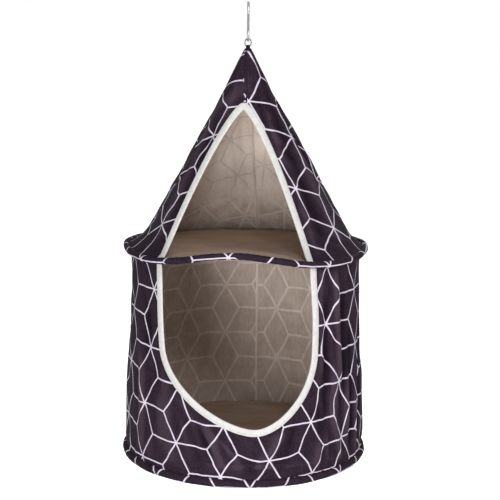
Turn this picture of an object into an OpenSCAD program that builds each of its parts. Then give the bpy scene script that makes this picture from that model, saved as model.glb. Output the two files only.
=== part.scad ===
// Hanging two-level pet cave: a cloth drum under a cloth cone, held open by two sprung
// wire hoops and hung from a small ring and an S-hook. The doorways face -Y. The origin
// is the underside of the hook's upper bend, which rests on whatever carries the bed.

/* [Hook and ring] */
// Height of the S-hook over its bends
hook_h = 70; // [62:1:90]
// Diameter of the hook's rod
hook_rod_d = 4.4; // [3.6:0.2:4.8]
// Centreline radius of the upper bend
hook_top_r = 13.5; // [11:0.5:15]
// Centreline radius of the lower bend
hook_low_r = 11; // [9:0.5:13]
// Outer diameter of the hanging ring
ring_d = 16; // [15:0.5:20]
// Diameter of the ring's wire
ring_wire_d = 2; // [1.6:0.2:2.4]
// Width of the cloth loop that passes through the ring
loop_w = 4.5; // [3:0.5:6]
// Thickness of the loop's folded cloth
loop_t = 1.4; // [1:0.2:2]
// Length of the loop's stem inside the cone's tip
stem_l = 18; // [10:1:30]
// Thickness of the loop's stem
stem_t = 4; // [3:0.5:4.5]
// Distance from the ring down to the cone's tip
tip_drop = 3.5; // [2:0.5:8]

/* [Hoops] */
// Outer diameter of the upper hoop over its sleeve
upper_d = 430; // [420:2:440]
// How much wider the lower hoop is than the upper one
lower_more = 6; // [0:1:20]
// Height between the planes of the two hoops
drum_h = 368; // [350:2:420]
// Diameter of the sprung hoop wire
hoop_wire_d = 4; // [3:0.5:4.5]
// Diameter of the cloth sleeve on the upper hoop
upper_sleeve_d = 12; // [11:0.5:13]
// Diameter of the cloth sleeve on the lower hoop
lower_sleeve_d = 16; // [14:0.5:17]
// Outer diameter of the ferrule that joins a hoop's ends
ferrule_d = 7; // [6.5:0.5:8]
// Length of the ferrule
ferrule_l = 36; // [24:2:50]
// Rise of the upper hoop's unloaded front, between the two doorways
front_rise = 21; // [0:1:26]
// Drop of the upper hoop's loaded rear
rear_drop = 16; // [0:1:16]
// How far the upper hoop dips on both sides of its rise
side_dip = 3; // [0:0.5:4]

/* [Cloth] */
// Thickness of the printed outer cloth
cover_t = 1.6; // [1:0.2:2]
// Thickness of the lining
lining_t = 1.2; // [0.8:0.2:1.6]
// Height of the cone above the upper hoop
cone_h = 341; // [320:1:380]
// Outer radius of the cone at its gathered tip
tip_r = 6; // [5.8:0.1:7]
// Inset of the drum's wall from the outside of the upper hoop
wall_top_inset = 15; // [14:1:19]
// Inset of the drum's wall from the outside of the lower hoop
wall_low_inset = 7; // [6:1:12]
// Depth of the slack folds in the drum's wall
fold_depth = 3; // [0:0.5:4]
// Width of the binding on both doorways
binding_w = 13.5; // [8:0.5:15]
// Thickness of the folded binding
binding_t = 5; // [4.6:0.2:6]

/* [Doorways] */
// Width of the lower doorway
door_w = 258; // [200:2:270]
// Depth of the lower doorway's straight sides
door_straight = 150; // [100:5:170]
// Depth of the round bottom of the lower doorway
door_round = 130; // [90:1:140]
// How far the right side of the lower doorway bows outwards
door_bow = 5.5; // [0:0.5:8]
// Depth over which it bows
door_bow_depth = 196; // [150:2:240]
// Width of the arched upper doorway at its feet
arch_w = 250; // [200:2:260]
// Height of the arched doorway's point above the hoop
arch_h = 250; // [200:2:270]

/* [Cushions] */
// Sag of the shelf in its middle
shelf_sag = 12; // [0:1:20]
// Thickness of the shelf's quilted cloth
shelf_t = 2.4; // [1.6:0.2:4]
// Gap between the shelf cushion and the shelf's rim
shelf_pad_gap = 9.5; // [8:0.5:28]
// Thickness of the shelf cushion
shelf_pad_t = 14; // [10:1:24]
// Thickness of the floor's quilted cloth
floor_t = 3; // [2:0.2:5]
// Gap between the floor cushion and the lower hoop's sleeve
floor_pad_gap = 15; // [13:1:50]
// Thickness of the floor cushion
floor_pad_t = 38; // [24:1:50]

/* [Hidden] */
$fn = 96;
seat_gap = 0.3;
cut_over = 1;

// Turn of the ring about the vertical, and the play of the cloth loop on its wire.
ring_turn = 40;
loop_play = 0.8;

// Angles past the level at which the hook's two tips end.
top_tip_turn = 25;
low_tip_turn = 25;

// Bending stretches the hook's straight shank a little thinner, and its tips are ground.
shank_neck = 0.1;

// Heights of the hook, the ring and the two hoops below the origin.
hook_top_z = hook_rod_d / 2 - hook_top_r;
hook_low_wire_z = hook_rod_d * 3 / 2 - hook_h;
hook_low_z = hook_low_wire_z + hook_low_r;
ring_r = (ring_d - ring_wire_d) / 2;
ring_z = hook_low_wire_z + hook_rod_d / 2 + seat_gap + ring_wire_d / 2 - ring_r;
pivot_z = ring_z - ring_r;
tip_z = pivot_z - ring_wire_d / 2 - tip_drop;
upper_z = tip_z - cone_h;
lower_z = upper_z - drum_h;

// The hoops' centrelines and the bore of their sleeves.
lower_d = upper_d + lower_more;
upper_r = (upper_d - upper_sleeve_d) / 2;
lower_r = (lower_d - lower_sleeve_d) / 2;
wire_play = 0.5;
bore_d = hoop_wire_d + wire_play * 2;
hoop_rings = 56;
sleeve_sides = 10;
wire_sides = 8;

// The front rise is centred a little to the left and dies away with a power of the cosine.
rise_turn = -5;
rise_power = 8;
rear_power = 1.2;
// Brings the largest value of cos(a) * sin(a)^2 to 1.
dip_gain = 2.6;

// The drum's wall follows the two hoops.
wall_top_r = upper_d / 2 - wall_top_inset;
wall_low_r = lower_d / 2 - wall_low_inset;

// Where the cloth meets the sleeve, above and below the hoop's plane.
sew_gap = 2;
flare_r = 17;
flare_h = 45;
flare_power = 2.2;
hem_flare = 4;
hem_h = 14;
cone_slope = (upper_r - hem_flare - flare_r - tip_r) / cone_h;
slant = sqrt(1 + pow(cone_slope, 2));
wall_depth = drum_h - lower_sleeve_d / 2 - seat_gap;
door_depth = door_straight + door_round;

// The doorways sit a little off the middle, by these amounts at their tops and feet.
door_top_shift = -16;
door_low_shift = 19;
door_drift_power = 3.5;
door_soft_share = 0.6;
arch_tip_shift = -6;
arch_foot_shift = -17;
arch_power = 0.75;

// Grid of the cloth: columns round the wall and rows for each stretch of it.
cloth_cols = 36;
straight_rows = 3;
round_rows = 6;
low_rows = 2;
tip_rows = 3;
arch_rows = 8;
fold_count = 8;
fold_twist = 40;
pad_cols = 28;
pad_rings = 6;
binding_sides = 8;
binding_steps = 14;

// The shelf and the pads.
shelf_r = wall_top_r - cover_t - lining_t + seat_gap;
shelf_pad_r = shelf_r - shelf_pad_gap;
shelf_drop = 2;
shelf_ease = 8;
shelf_power = 2;
pad_round_power = 2.6;
pad_bow_share = 0.3;
pad_rim_share = 0.15;
pad_play = 0.9;
floor_r = lower_r - lower_sleeve_d / 2 + cut_over;
floor_pad_r = floor_r - floor_pad_gap;
floor_sag = 3;

print_cloth = "#3c303f";
lining_cloth = "#9d8f83";
tape_cloth = "#e6e1d8";
pad_cloth = "#84735f";
bright_steel = "#c9ccd0";
dark_steel = "#77797d";

// A point at radius r and height z. The angle is 0 at the front and grows towards +X.
function around(r, a, z) = [r * sin(a), -r * cos(a), z];

// Height of the upper hoop's wire above its own plane.
function lift(a) =
    front_rise * pow(max(0, cos(a - rise_turn)), rise_power)
    - rear_drop * pow(max(0, -cos(a)), rear_power)
    - side_dip * dip_gain * max(0, cos(a)) * pow(sin(a), 2);

function blend(from, to, share) = from + (to - from) * share;

// Outer radius of the drum at a depth below the upper hoop.
function wall_r(d) =
    blend(wall_top_r, wall_low_r, pow(sin(90 * min(1, d / wall_depth)), 2))
    + hem_flare * pow(max(0, 1 - d / hem_h), 2);

function fold(a, d) =
    fold_depth * sin(180 * d / wall_depth) * cos(fold_count * a + fold_twist * d / wall_depth);

// Outer radius of the cone at a height above the upper hoop.
function cone_r(h) =
    tip_r + (cone_h - h) * cone_slope + flare_r * pow(max(0, 1 - h / flare_h), flare_power);

// Half width of each doorway and the shift of its middle.
function door_curve(c) = c * blend(abs(c), 1, door_soft_share);
function door_half(d) =
    door_w / 2 * door_curve(sqrt(max(0, 1 - pow(max(0, d - door_straight) / door_round, 2))));
function door_mid(d) =
    blend(door_top_shift, door_low_shift, pow(min(1, d / door_depth), door_drift_power));
function arch_half(h) = arch_w / 2 * pow(max(0, 1 - h / arch_h), arch_power);
function arch_mid(h) = blend(arch_foot_shift, arch_tip_shift, min(1, h / arch_h));

function bowed(d, side) =
    side > 0 ? door_bow * pow(sin(180 * min(1, d / door_bow_depth)), 2) : 0;
function door_angle(d, side) =
    asin((door_mid(d) + side * door_half(d) + bowed(d, side)) / wall_r(d));
function arch_angle(h, side) = asin((arch_mid(h) + side * arch_half(h)) / cone_r(h));

// Points on the cloth at a depth inward from its outer face.
function drum_point(a, d, inward) =
    around(wall_r(d) + fold(a, d) - inward, a,
        lift(a) * max(0, 1 - d / door_straight) - max(d, sew_gap));
function cone_point(a, h, inward) =
    around(cone_r(h) - inward * slant, a,
        lift(a) * max(0, 1 - h / (flare_h * 2)) + max(h, sew_gap));

// Rows of each cloth from its top down: [height value, left angle, right angle, joined].
drum_levels = concat(
    [for (s = [0:straight_rows - 1]) door_straight * s / straight_rows],
    [for (s = [0:round_rows]) door_straight + door_round * sin(90 * s / round_rows)],
    [for (s = [1:low_rows]) blend(door_depth, wall_depth, s / low_rows)]);
drum_rows = [for (d = drum_levels) [d, door_angle(d, -1), door_angle(d, 1), d >= door_depth]];
cone_levels = concat(
    [for (s = [0:tip_rows - 1]) blend(cone_h, arch_h, s / tip_rows)],
    [for (s = [0:arch_rows]) arch_h * pow(1 - s / arch_rows, 1 / arch_power)]);
cone_rows = [for (h = cone_levels) [h, arch_angle(h, -1), arch_angle(h, 1), h >= arch_h]];

// Angle of column i in a row that runs from the right jamb round the back to the left one.
function column_angle(row, i) = blend(row[2], row[1] + 360, i / cloth_cols);

// Closed shell of cloth between two faces of points, open at the front where not joined.
module cloth_shell(rows, outer, inner) {
    last = len(rows) - 1;
    cells = [for (j = [0:last - 1]) for (i = [0:cloth_cols - 1]) [i, j]];
    at = function (face, i, j)
        (face * len(rows) + j) * (cloth_cols + 1) + ((rows[j][3] && i == cloth_cols) ? 0 : i);
    points = [for (face = [0, 1]) for (row = rows) for (i = [0:cloth_cols])
        face == 0 ? outer(column_angle(row, i), row[0]) : inner(column_angle(row, i), row[0])];
    quad = function (p, q, r, s) [[p, q, r], [p, r, s]];
    skins = [for (c = cells) let (i = c[0], j = c[1]) each concat(
        quad(at(0, i, j), at(0, i + 1, j), at(0, i + 1, j + 1), at(0, i, j + 1)),
        quad(at(1, i, j), at(1, i, j + 1), at(1, i + 1, j + 1), at(1, i + 1, j)))];
    rims = [for (i = [0:cloth_cols - 1]) each concat(
        quad(at(0, i, 0), at(1, i, 0), at(1, i + 1, 0), at(0, i + 1, 0)),
        quad(at(0, i, last), at(0, i + 1, last), at(1, i + 1, last), at(1, i, last)))];
    jambs = [for (j = [0:last - 1]) if (!(rows[j][3] && rows[j + 1][3])) each concat(
        quad(at(1, 0, j), at(0, 0, j), at(0, 0, j + 1), at(1, 0, j + 1)),
        quad(at(1, cloth_cols, j), at(1, cloth_cols, j + 1),
            at(0, cloth_cols, j + 1), at(0, cloth_cols, j)))];
    polyhedron(points, concat(skins, rims, jambs));
}

// Faces of a tube of rings, either closed on itself or with flat ends.
function tube_faces(rings, sides, closed) = concat(
    [for (i = [0:rings - (closed ? 1 : 2)]) for (k = [0:sides - 1])
        let (n = (i + 1) % rings, m = (k + 1) % sides)
        each [[i * sides + k, i * sides + m, n * sides + m],
            [i * sides + k, n * sides + m, n * sides + k]]],
    closed ? [] : [for (k = [1:sides - 2]) [0, k + 1, k]],
    closed ? [] : [for (k = [1:sides - 2])
        [(rings - 1) * sides, (rings - 1) * sides + k, (rings - 1) * sides + k + 1]]);

// Tube that follows the upper hoop all the way round.
module upper_tube(tube_d, sides) {
    points = [for (i = [0:hoop_rings - 1]) for (k = [0:sides - 1])
        let (a = 360 * i / hoop_rings, t = 360 * k / sides)
        around(upper_r + tube_d / 2 * cos(t), a, lift(a) + tube_d / 2 * sin(t))];
    translate([0, 0, upper_z]) polyhedron(points, tube_faces(hoop_rings, sides, true));
}

function unit(v) = v / norm(v);

// Flat folded tape along a doorway's edge: wide along the cloth and thin across it.
module edge_tape(path) {
    count = len(path);
    sides = binding_sides;
    points = [for (i = [0:count - 1]) for (k = [0:sides - 1])
        let (along = unit(path[min(count - 1, i + 1)] - path[max(0, i - 1)]),
            out = unit([path[i][0], path[i][1], 0]),
            wide = unit(cross(along, out)),
            thin = cross(wide, along),
            t = 360 * k / sides)
        path[i] + wide * binding_w / 2 * cos(t) + thin * binding_t / 2 * sin(t)];
    translate([0, 0, upper_z]) polyhedron(points, tube_faces(count, sides, false));
}

cloth_mid = (cover_t + lining_t) / 2;
door_jamb_depths = [for (s = [0:straight_rows * 2 - 1]) door_straight * s / straight_rows / 2];
function jamb_point(d, side) = drum_point(door_angle(d, side), d, cloth_mid);
function sill_point(turn) =
    let (d = door_straight + door_round * sin(turn),
        half = door_w / 2 * door_curve(cos(turn)),
        x = door_mid(d) - half + bowed(d, -cos(turn)))
    drum_point(asin(x / wall_r(d)), d, cloth_mid);
function arch_point(s, side) =
    let (h = arch_h * (1 - pow(1 - s / binding_steps, 1 / arch_power)))
    cone_point(arch_angle(h, side), h, cloth_mid);

door_path = concat(
    [for (d = door_jamb_depths) jamb_point(d, -1)],
    [for (s = [0:binding_steps * 2]) sill_point(90 * s / binding_steps)],
    [for (s = [1:len(door_jamb_depths)])
        jamb_point(door_jamb_depths[len(door_jamb_depths) - s], 1)]);
arch_path = concat(
    [for (s = [0:binding_steps]) arch_point(s, -1)],
    [for (s = [1:binding_steps]) arch_point(binding_steps - s, 1)]);

// Arc of rod in the Y-Z plane, counted from +Y towards +Z, with a round tip at its end.
module rod_arc(centre_z, bend_r, from, sweep) {
    translate([0, 0, centre_z]) rotate([90, 0, 90]) {
        rotate([0, 0, from]) rotate_extrude(angle = sweep)
            translate([bend_r, 0]) circle(d = hook_rod_d);
        rotate([0, 0, from + sweep]) translate([bend_r, -seat_gap, 0]) rotate([-90, 0, 0])
            rotate_extrude() intersection() {
                circle(d = hook_rod_d - shank_neck);
                square(hook_rod_d);
            }
    }
}

module s_hook() {
    lean = asin((hook_top_r + hook_low_r) / (hook_top_z - hook_low_z));
    shank_l = sqrt(pow(hook_top_z - hook_low_z, 2) - pow(hook_top_r + hook_low_r, 2));
    color(bright_steel) {
        rod_arc(hook_top_z, hook_top_r, -lean, 180 + lean + top_tip_turn);
        rod_arc(hook_low_z, hook_low_r, 180 - lean, 180 + lean + low_tip_turn);
        translate([0, -hook_low_r * cos(lean), hook_low_z + hook_low_r * sin(lean)])
            rotate([-lean, 0, 0]) translate([0, 0, -seat_gap])
                cylinder(d = hook_rod_d - shank_neck, h = shank_l + seat_gap * 2);
    }
}

module hanging_ring() {
    color(bright_steel) translate([0, 0, ring_z]) rotate([90, 0, ring_turn])
        rotate_extrude() translate([ring_r, 0]) circle(d = ring_wire_d);
}

module apex_loop() {
    hole_r = ring_wire_d / 2 + loop_play;
    color(print_cloth) translate([0, 0, pivot_z]) rotate([90, 0, 90 + ring_turn])
        translate([0, 0, -loop_w / 2]) linear_extrude(loop_w) difference() {
            union() {
                circle(r = hole_r + loop_t);
                translate([-stem_t / 2, -hole_r - tip_drop - stem_l])
                    square([stem_t, tip_drop + stem_l]);
            }
            circle(r = hole_r);
        }
}

module cone_cover() {
    color(print_cloth) translate([0, 0, upper_z]) cloth_shell(cone_rows,
        function (a, h) cone_point(a, h, 0),
        function (a, h) cone_point(a, h, cover_t));
}

module cone_lining() {
    color(lining_cloth) translate([0, 0, upper_z]) cloth_shell(cone_rows,
        function (a, h) cone_point(a, h, cover_t),
        function (a, h) cone_point(a, h, cover_t + lining_t));
}

module cone_binding() {
    color(tape_cloth) edge_tape(arch_path);
}

module upper_hoop() {
    color(dark_steel) upper_tube(hoop_wire_d, wire_sides);
}

module upper_hoop_sleeve() {
    color(print_cloth) difference() {
        upper_tube(upper_sleeve_d, sleeve_sides);
        upper_tube(bore_d, wire_sides);
        ferrule_space(upper_r, upper_z - rear_drop);
    }
}

// Short arc of a section at the rear of a hoop, where its two ends meet.
module rear_arc(hoop_r, z, arc_l) {
    span = arc_l / hoop_r * 180 / PI;
    translate([0, 0, z]) rotate([0, 0, 90 - span / 2]) rotate_extrude(angle = span)
        translate([hoop_r, 0]) children();
}

// Crimped tube over the butted ends of the hoop.
module ferrule(hoop_r, z) {
    rear_arc(hoop_r, z, ferrule_l) difference() {
        circle(d = ferrule_d);
        circle(d = bore_d);
    }
}

module ferrule_space(hoop_r, z) {
    rear_arc(hoop_r, z, ferrule_l + wire_play * 2) circle(d = ferrule_d + wire_play * 2);
}

module upper_ferrule() {
    color(dark_steel) ferrule(upper_r, upper_z - rear_drop);
}

module shelf_panel() {
    edge = function (a) shelf_edge(a);
    top = function (a, r) shelf_height(a, r);
    under = function (a, r) shelf_height(a, r) - shelf_t;
    color(lining_cloth) translate([0, 0, upper_z]) disc_solid(edge, top, under);
}

// Height of the shelf's upper face at an angle and a radius.
function shelf_height(a, r) =
    lift(a) * pow(r / shelf_r, shelf_power) - shelf_drop - shelf_sag * (1 - pow(r / shelf_r, 2));

// Radius of the shelf: up to the wall, and out to the sleeve between the two doorways.
function shelf_edge(a) =
    let (turn = a > 180 ? a - 360 : a,
        middle = (door_angle(0, -1) + door_angle(0, 1)) / 2,
        reach = (door_angle(0, 1) - door_angle(0, -1)) / 2,
        share = max(0, min(1, (reach - abs(turn - middle)) / shelf_ease)))
    blend(shelf_r, upper_r - upper_sleeve_d / 2 + cut_over, share);

// Round solid between an upper and a lower face that share their rim columns. The shelf and
// its cushion have the same rings inside the rim, so that their facets lie on each other.
module disc_solid(edge, top, under) {
    rings = pad_rings;
    at = function (face, i, j)
        j == 0 ? face : 2 + (face * rings + j - 1) * pad_cols + i % pad_cols;
    radius = function (a, j) j == rings ? edge(a) : shelf_pad_r * sin(90 * j / rings);
    height = function (face, a, r) face == 0 ? top(a, r) : under(a, r);
    points = concat(
        [for (face = [0, 1]) [0, 0, height(face, 0, 0)]],
        [for (face = [0, 1]) for (j = [1:rings]) for (i = [0:pad_cols - 1])
            let (a = 360 * i / pad_cols, r = radius(a, j))
            around(r, a, height(face, a, r))]);
    quad = function (p, q, r, s) [[p, q, r], [p, r, s]];
    faces = concat(
        [for (i = [0:pad_cols - 1]) each [[at(0, i, 0), at(0, i + 1, 1), at(0, i, 1)],
            [at(1, i, 0), at(1, i, 1), at(1, i + 1, 1)]]],
        [for (j = [1:rings - 1]) for (i = [0:pad_cols - 1]) each concat(
            quad(at(0, i, j), at(0, i + 1, j), at(0, i + 1, j + 1), at(0, i, j + 1)),
            quad(at(1, i, j), at(1, i, j + 1), at(1, i + 1, j + 1), at(1, i + 1, j)))],
        [for (i = [0:pad_cols - 1]) each
            quad(at(0, i, rings), at(0, i + 1, rings), at(1, i + 1, rings), at(1, i, rings))]);
    polyhedron(points, faces);
}

// Share of a pad's thickness that is left at a share of its radius.
function pad_swell(share) = pow(max(0, 1 - pow(share, pad_round_power)), 1 / pad_round_power);

module shelf_cushion() {
    rim = shelf_pad_t * pad_rim_share;
    edge = function (a) shelf_pad_r;
    under = function (a, r) shelf_height(a, r) + pad_play;
    top = function (a, r) under(a, r) + blend(rim, shelf_pad_t, pad_swell(r / shelf_pad_r));
    color(pad_cloth) translate([0, 0, upper_z]) disc_solid(edge, top, under);
}

module drum_cover() {
    color(print_cloth) translate([0, 0, upper_z]) cloth_shell(drum_rows,
        function (a, d) drum_point(a, d, 0),
        function (a, d) drum_point(a, d, cover_t));
}

module drum_lining() {
    color(lining_cloth) translate([0, 0, upper_z]) cloth_shell(drum_rows,
        function (a, d) drum_point(a, d, cover_t),
        function (a, d) drum_point(a, d, cover_t + lining_t));
}

module drum_binding() {
    color(tape_cloth) edge_tape(door_path);
}

module lower_ring(tube_d) {
    translate([0, 0, lower_z]) rotate_extrude() translate([lower_r, 0]) circle(d = tube_d);
}

module lower_hoop() {
    color(dark_steel) lower_ring(hoop_wire_d);
}

module lower_ferrule() {
    color(dark_steel) ferrule(lower_r, lower_z);
}

module lower_hoop_sleeve() {
    color(print_cloth) difference() {
        lower_ring(lower_sleeve_d);
        lower_ring(bore_d);
        ferrule_space(lower_r, lower_z);
    }
}

module floor_panel() {
    color(print_cloth) translate([0, 0, lower_z]) rotate_extrude()
        polygon([[0, -floor_sag], [floor_r, 0], [floor_r, -floor_t], [0, -floor_sag - floor_t]]);
}

// Round pad with a crowned top and bottom and a bowed side.
module floor_cushion() {
    steps = 16;
    half = floor_pad_t / 2;
    edge = floor_pad_r - half;
    profile = concat(
        [[0, -half]],
        [for (s = [-steps:steps]) let (turn = 90 * s / steps)
            [edge + half * pow(cos(turn), 2 / pad_round_power),
                half * sin(turn) * blend(1, pad_bow_share * 2, pow(cos(turn), 2))]],
        [[0, half]]);
    color(pad_cloth) translate([0, 0, lower_z + seat_gap + half]) rotate_extrude()
        polygon(profile);
}

s_hook();
hanging_ring();
apex_loop();
cone_cover();
cone_lining();
cone_binding();
upper_hoop();
upper_ferrule();
upper_hoop_sleeve();
shelf_panel();
shelf_cushion();
drum_cover();
drum_lining();
drum_binding();
lower_hoop();
lower_ferrule();
lower_hoop_sleeve();
floor_panel();
floor_cushion();
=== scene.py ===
import math

import bmesh
import bpy
import numpy as np
from mathutils import Matrix, Vector


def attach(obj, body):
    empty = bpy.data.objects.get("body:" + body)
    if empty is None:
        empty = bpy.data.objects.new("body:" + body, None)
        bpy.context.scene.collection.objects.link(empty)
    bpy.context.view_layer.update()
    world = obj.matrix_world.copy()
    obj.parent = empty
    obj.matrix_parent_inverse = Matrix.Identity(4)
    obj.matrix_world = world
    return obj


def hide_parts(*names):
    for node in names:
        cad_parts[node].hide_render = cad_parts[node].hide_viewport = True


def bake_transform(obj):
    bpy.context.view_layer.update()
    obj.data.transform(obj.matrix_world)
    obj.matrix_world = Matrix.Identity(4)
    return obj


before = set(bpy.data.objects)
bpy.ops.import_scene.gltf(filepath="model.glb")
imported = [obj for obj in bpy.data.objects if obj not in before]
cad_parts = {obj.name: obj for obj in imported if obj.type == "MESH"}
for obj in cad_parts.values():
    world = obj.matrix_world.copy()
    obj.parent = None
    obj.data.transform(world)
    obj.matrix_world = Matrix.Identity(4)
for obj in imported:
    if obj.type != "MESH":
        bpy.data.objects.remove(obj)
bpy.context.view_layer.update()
RNG = np.random.default_rng(11)
MM = 0.001

# Heights of the object's frame, in mm, and the sizes of the cloth that hangs in it.
PIVOT_Z, TIP_Z, UPPER_Z, LOWER_Z = -73.9, -78.4, -419.4, -787.4
UPPER_R, UPPER_TUBE = 209.0, 6.0
LOWER_R, LOWER_TUBE = 210.0, 8.0
CONE_H, ARCH_H, ARCH_W, ARCH_POWER = 341.0, 250.0, 250.0, 0.75
CONE_SLOPE, TIP_R, FLARE_R, FLARE_H, FLARE_POWER = 0.5337, 6.0, 17.0, 45.0, 2.2
TIP_DOME = 2.4
WALL_DEPTH, DOOR_W, DOOR_STRAIGHT, DOOR_ROUND = 359.7, 258.0, 150.0, 130.0
DOOR_DEPTH = DOOR_STRAIGHT + DOOR_ROUND
SHELF_R, SHELF_PAD_R, SHELF_PAD_T = 197.5, 188.0, 14.0
FLOOR_R, FLOOR_PAD_R, FLOOR_PAD_T = 203.0, 188.0, 38.0
CLOTH_T = 2.2
RING_TURN = 40.0
REAR_SEAM = math.radians(173.6)
DRUM_R = 207.0

# The upper hoop's front rises, it dips on both sides of that, and its rear drops.
FRONT_RISE, RISE_TURN, RISE_POWER = 21, math.radians(5), 8
REAR_DROP, REAR_POWER, SIDE_DIP = 16, 1.2, 3 * 2.6
# Radii of the wall at its top and foot, and the lip that joins it to the hoop.
WALL_TOP_R, WALL_LOW_R, LIP, LIP_H = 200, 211, 4, 14
# Middles of the doorways at their two ends, and the bow of the lower one's right side.
DOOR_MIDS, DOOR_MID_POWER, ARCH_MIDS = (-16, 19), 3.5, (-17, -6)
DOOR_SQUARE, DOOR_BOW, BOW_DEPTH = 0.4, 5.5, 196


# Shapes shared with the solids.


def mix(a, b, t):
    return a + (b - a) * t


def smooth(t):
    t = np.clip(t, 0, 1)
    return t * t * (3 - 2 * t)


def lift(a):
    """Height of the upper hoop above its own plane."""
    rise = FRONT_RISE * np.maximum(0, np.cos(a + RISE_TURN)) ** RISE_POWER
    drop = REAR_DROP * np.maximum(0, -np.cos(a)) ** REAR_POWER
    return rise - drop - SIDE_DIP * np.maximum(0, np.cos(a)) * np.sin(a) ** 2


def wall_r(d):
    bow = np.sin(np.pi / 2 * np.minimum(1, d / WALL_DEPTH)) ** 2
    return mix(WALL_TOP_R, WALL_LOW_R, bow) + LIP * np.maximum(0, 1 - d / LIP_H) ** 2


def cone_r(h):
    """Radius of the cone, which closes over its tip in a small dome."""
    flare = FLARE_R * np.maximum(0, 1 - h / FLARE_H) ** FLARE_POWER
    over = np.clip((h - CONE_H) / TIP_DOME, 0, 1)
    dome = TIP_R * np.sqrt(1 - over**2)
    return np.where(h > CONE_H, dome, TIP_R + (CONE_H - h) * CONE_SLOPE + flare)


def door_round_share(c):
    """Makes the doorway's bottom a little squarer than a half circle."""
    return c * (1 - DOOR_SQUARE + DOOR_SQUARE * np.abs(c))


def door_half(d):
    t = np.maximum(0, 1 - (np.maximum(0, d - DOOR_STRAIGHT) / DOOR_ROUND) ** 2)
    return DOOR_W / 2 * door_round_share(np.sqrt(t))


def door_mid(d):
    return mix(*DOOR_MIDS, np.minimum(1, d / DOOR_DEPTH) ** DOOR_MID_POWER)


def arch_half(h):
    return ARCH_W / 2 * np.maximum(0, 1 - h / ARCH_H) ** ARCH_POWER


def arch_mid(h):
    return mix(*ARCH_MIDS, np.minimum(1, h / ARCH_H))


def bowed(d):
    """The right side of the lower doorway bows outwards."""
    return DOOR_BOW * np.sin(np.pi * np.minimum(1, d / BOW_DEPTH)) ** 2


def door_angle(d, side):
    bow = bowed(d) * (side > 0)
    return np.arcsin((door_mid(d) + side * door_half(d) + bow) / wall_r(d))


def arch_angle(h, side):
    across = (arch_mid(h) + side * arch_half(h)) / cone_r(h)
    return np.arcsin(np.clip(across, -1, 1))


def turned(a):
    """Brings an angle between minus and plus half a turn."""
    return (a + np.pi) % (2 * np.pi) - np.pi


def around(r, a, z):
    """Points at a radius, angle and height. Angle 0 is the front, and +X is at a quarter turn."""
    return np.stack([r * np.sin(a), -r * np.cos(a), z + 0 * a], -1)


# Creases and gathers of the cloth.

# The creases that the photograph shows. Each runs from an angle and height to another, in
# degrees and mm from the upper hoop. Its half width and its height in mm follow.
DRUM_CREASES = [
    (38.5, -10, 38.0, -175, 7, 3.2),
    (43.5, -60, 41.0, -300, 6, -2.6),
    (49.5, -20, 50.0, -120, 7, 3.4),
    (50.5, -130, 51.5, -215, 6, 3.4),
    (45.5, -200, 46.6, -285, 7, 3.4),
    (47.0, -270, 52.0, -352, 6, 2.8),
    (55.5, -60, 55.0, -230, 7, -2.8),
    (58.0, -205, 57.0, -305, 6, 3.2),
    (61.5, -120, 62.5, -330, 7, -2.6),
    (65.0, -240, 67.0, -352, 7, 3.0),
    (39.0, -300, 36.0, -354, 7, 2.4),
    (-31.0, -226, -23.0, -272, 7, 2.8),
    (-28.0, -238, -14.0, -322, 9, -2.2),
    (-22.0, -262, -8.0, -345, 8, 2.8),
    (-15.5, -277, -1.0, -330, 7, 2.4),
    (-11.0, -284, 4.0, -345, 7, -1.8),
    (18.5, -284, 9.5, -330, 8, 2.2),
    (24.0, -276, 17.0, -350, 9, -1.6),
    (-45.0, -150, -36.0, -345, 14, 2.0),
    (-56.0, -90, -44.0, -230, 13, -1.8),
    (-61.0, -170, -55.0, -350, 13, 2.0),
    (0.0, -335, 22.0, -343, 7, 1.4),
]
CONE_CREASES = [
    (24.0, 262, 27.0, 190, 7, -2.0),
    (33.0, 250, 36.0, 150, 8, 1.8),
    (52.0, 300, 50.0, 40, 13, -2.0),
    (66.0, 280, 63.0, 20, 14, 2.0),
    (-30.0, 300, -34.0, 210, 8, 1.8),
    (-48.0, 230, -52.0, 20, 13, -2.0),
    (-62.0, 260, -60.0, 30, 14, 1.8),
    (43.0, 150, 41.0, 20, 9, 1.6),
    (6.0, 330, 5.0, 262, 5, 1.2),
    (-9.0, 330, -8.0, 262, 5, 1.0),
]

# Families of parallel drapes: middle and half width in degrees, top and foot, lean in
# degrees per mm of depth, distance between ridges, height and phase.
DRUM_DRAPES = [
    (47, 12, -8, -352, 0.034, 23, 2.8, 0.4),
    (42, 9, -200, -352, 0.045, 19, 2.8, 2.6),
    (-20, 15, -240, -352, 0.130, 24, 3.2, 0.9),
    (10, 12, -286, -352, -0.080, 22, 2.4, 2.0),
    (-58, 16, -40, -340, 0.020, 30, 1.8, 1.0),
    (112, 30, -14, -350, 0.020, 27, 3.2, 1.0),
    (160, 26, -14, -350, -0.015, 31, 2.6, 2.2),
    (-112, 30, -14, -350, -0.020, 28, 3.0, 0.2),
    (-158, 22, -14, -350, 0.015, 33, 2.4, 1.4),
]


def draped(drapes, a, v, r):
    """Height of the families of drapes, with round ridges and narrow valleys."""
    total = np.zeros(np.broadcast(a, v).shape)
    for middle, half, top, foot, lean, pitch, height, phase in drapes:
        line = np.radians(middle + lean * ((top + foot) / 2 - v))
        side = turned(a - line)
        wander = 0.9 * np.sin(v / 61 + phase) + 0.6 * np.sin(v / 27 + 3 * phase + 4 * side)
        wave = 0.5 + 0.5 * np.cos(2 * np.pi * side * r / pitch + wander + phase)
        inside = smooth(1.25 - np.abs(side) / np.radians(half))
        ends = smooth((top - v) / 45) * smooth((v - foot) / 22)
        ebb = 0.72 + 0.28 * np.sin(v / 43 + 5 * side + phase)
        total += height * (wave**0.8 - 0.55) * inside * ends * ebb
    return total


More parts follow.
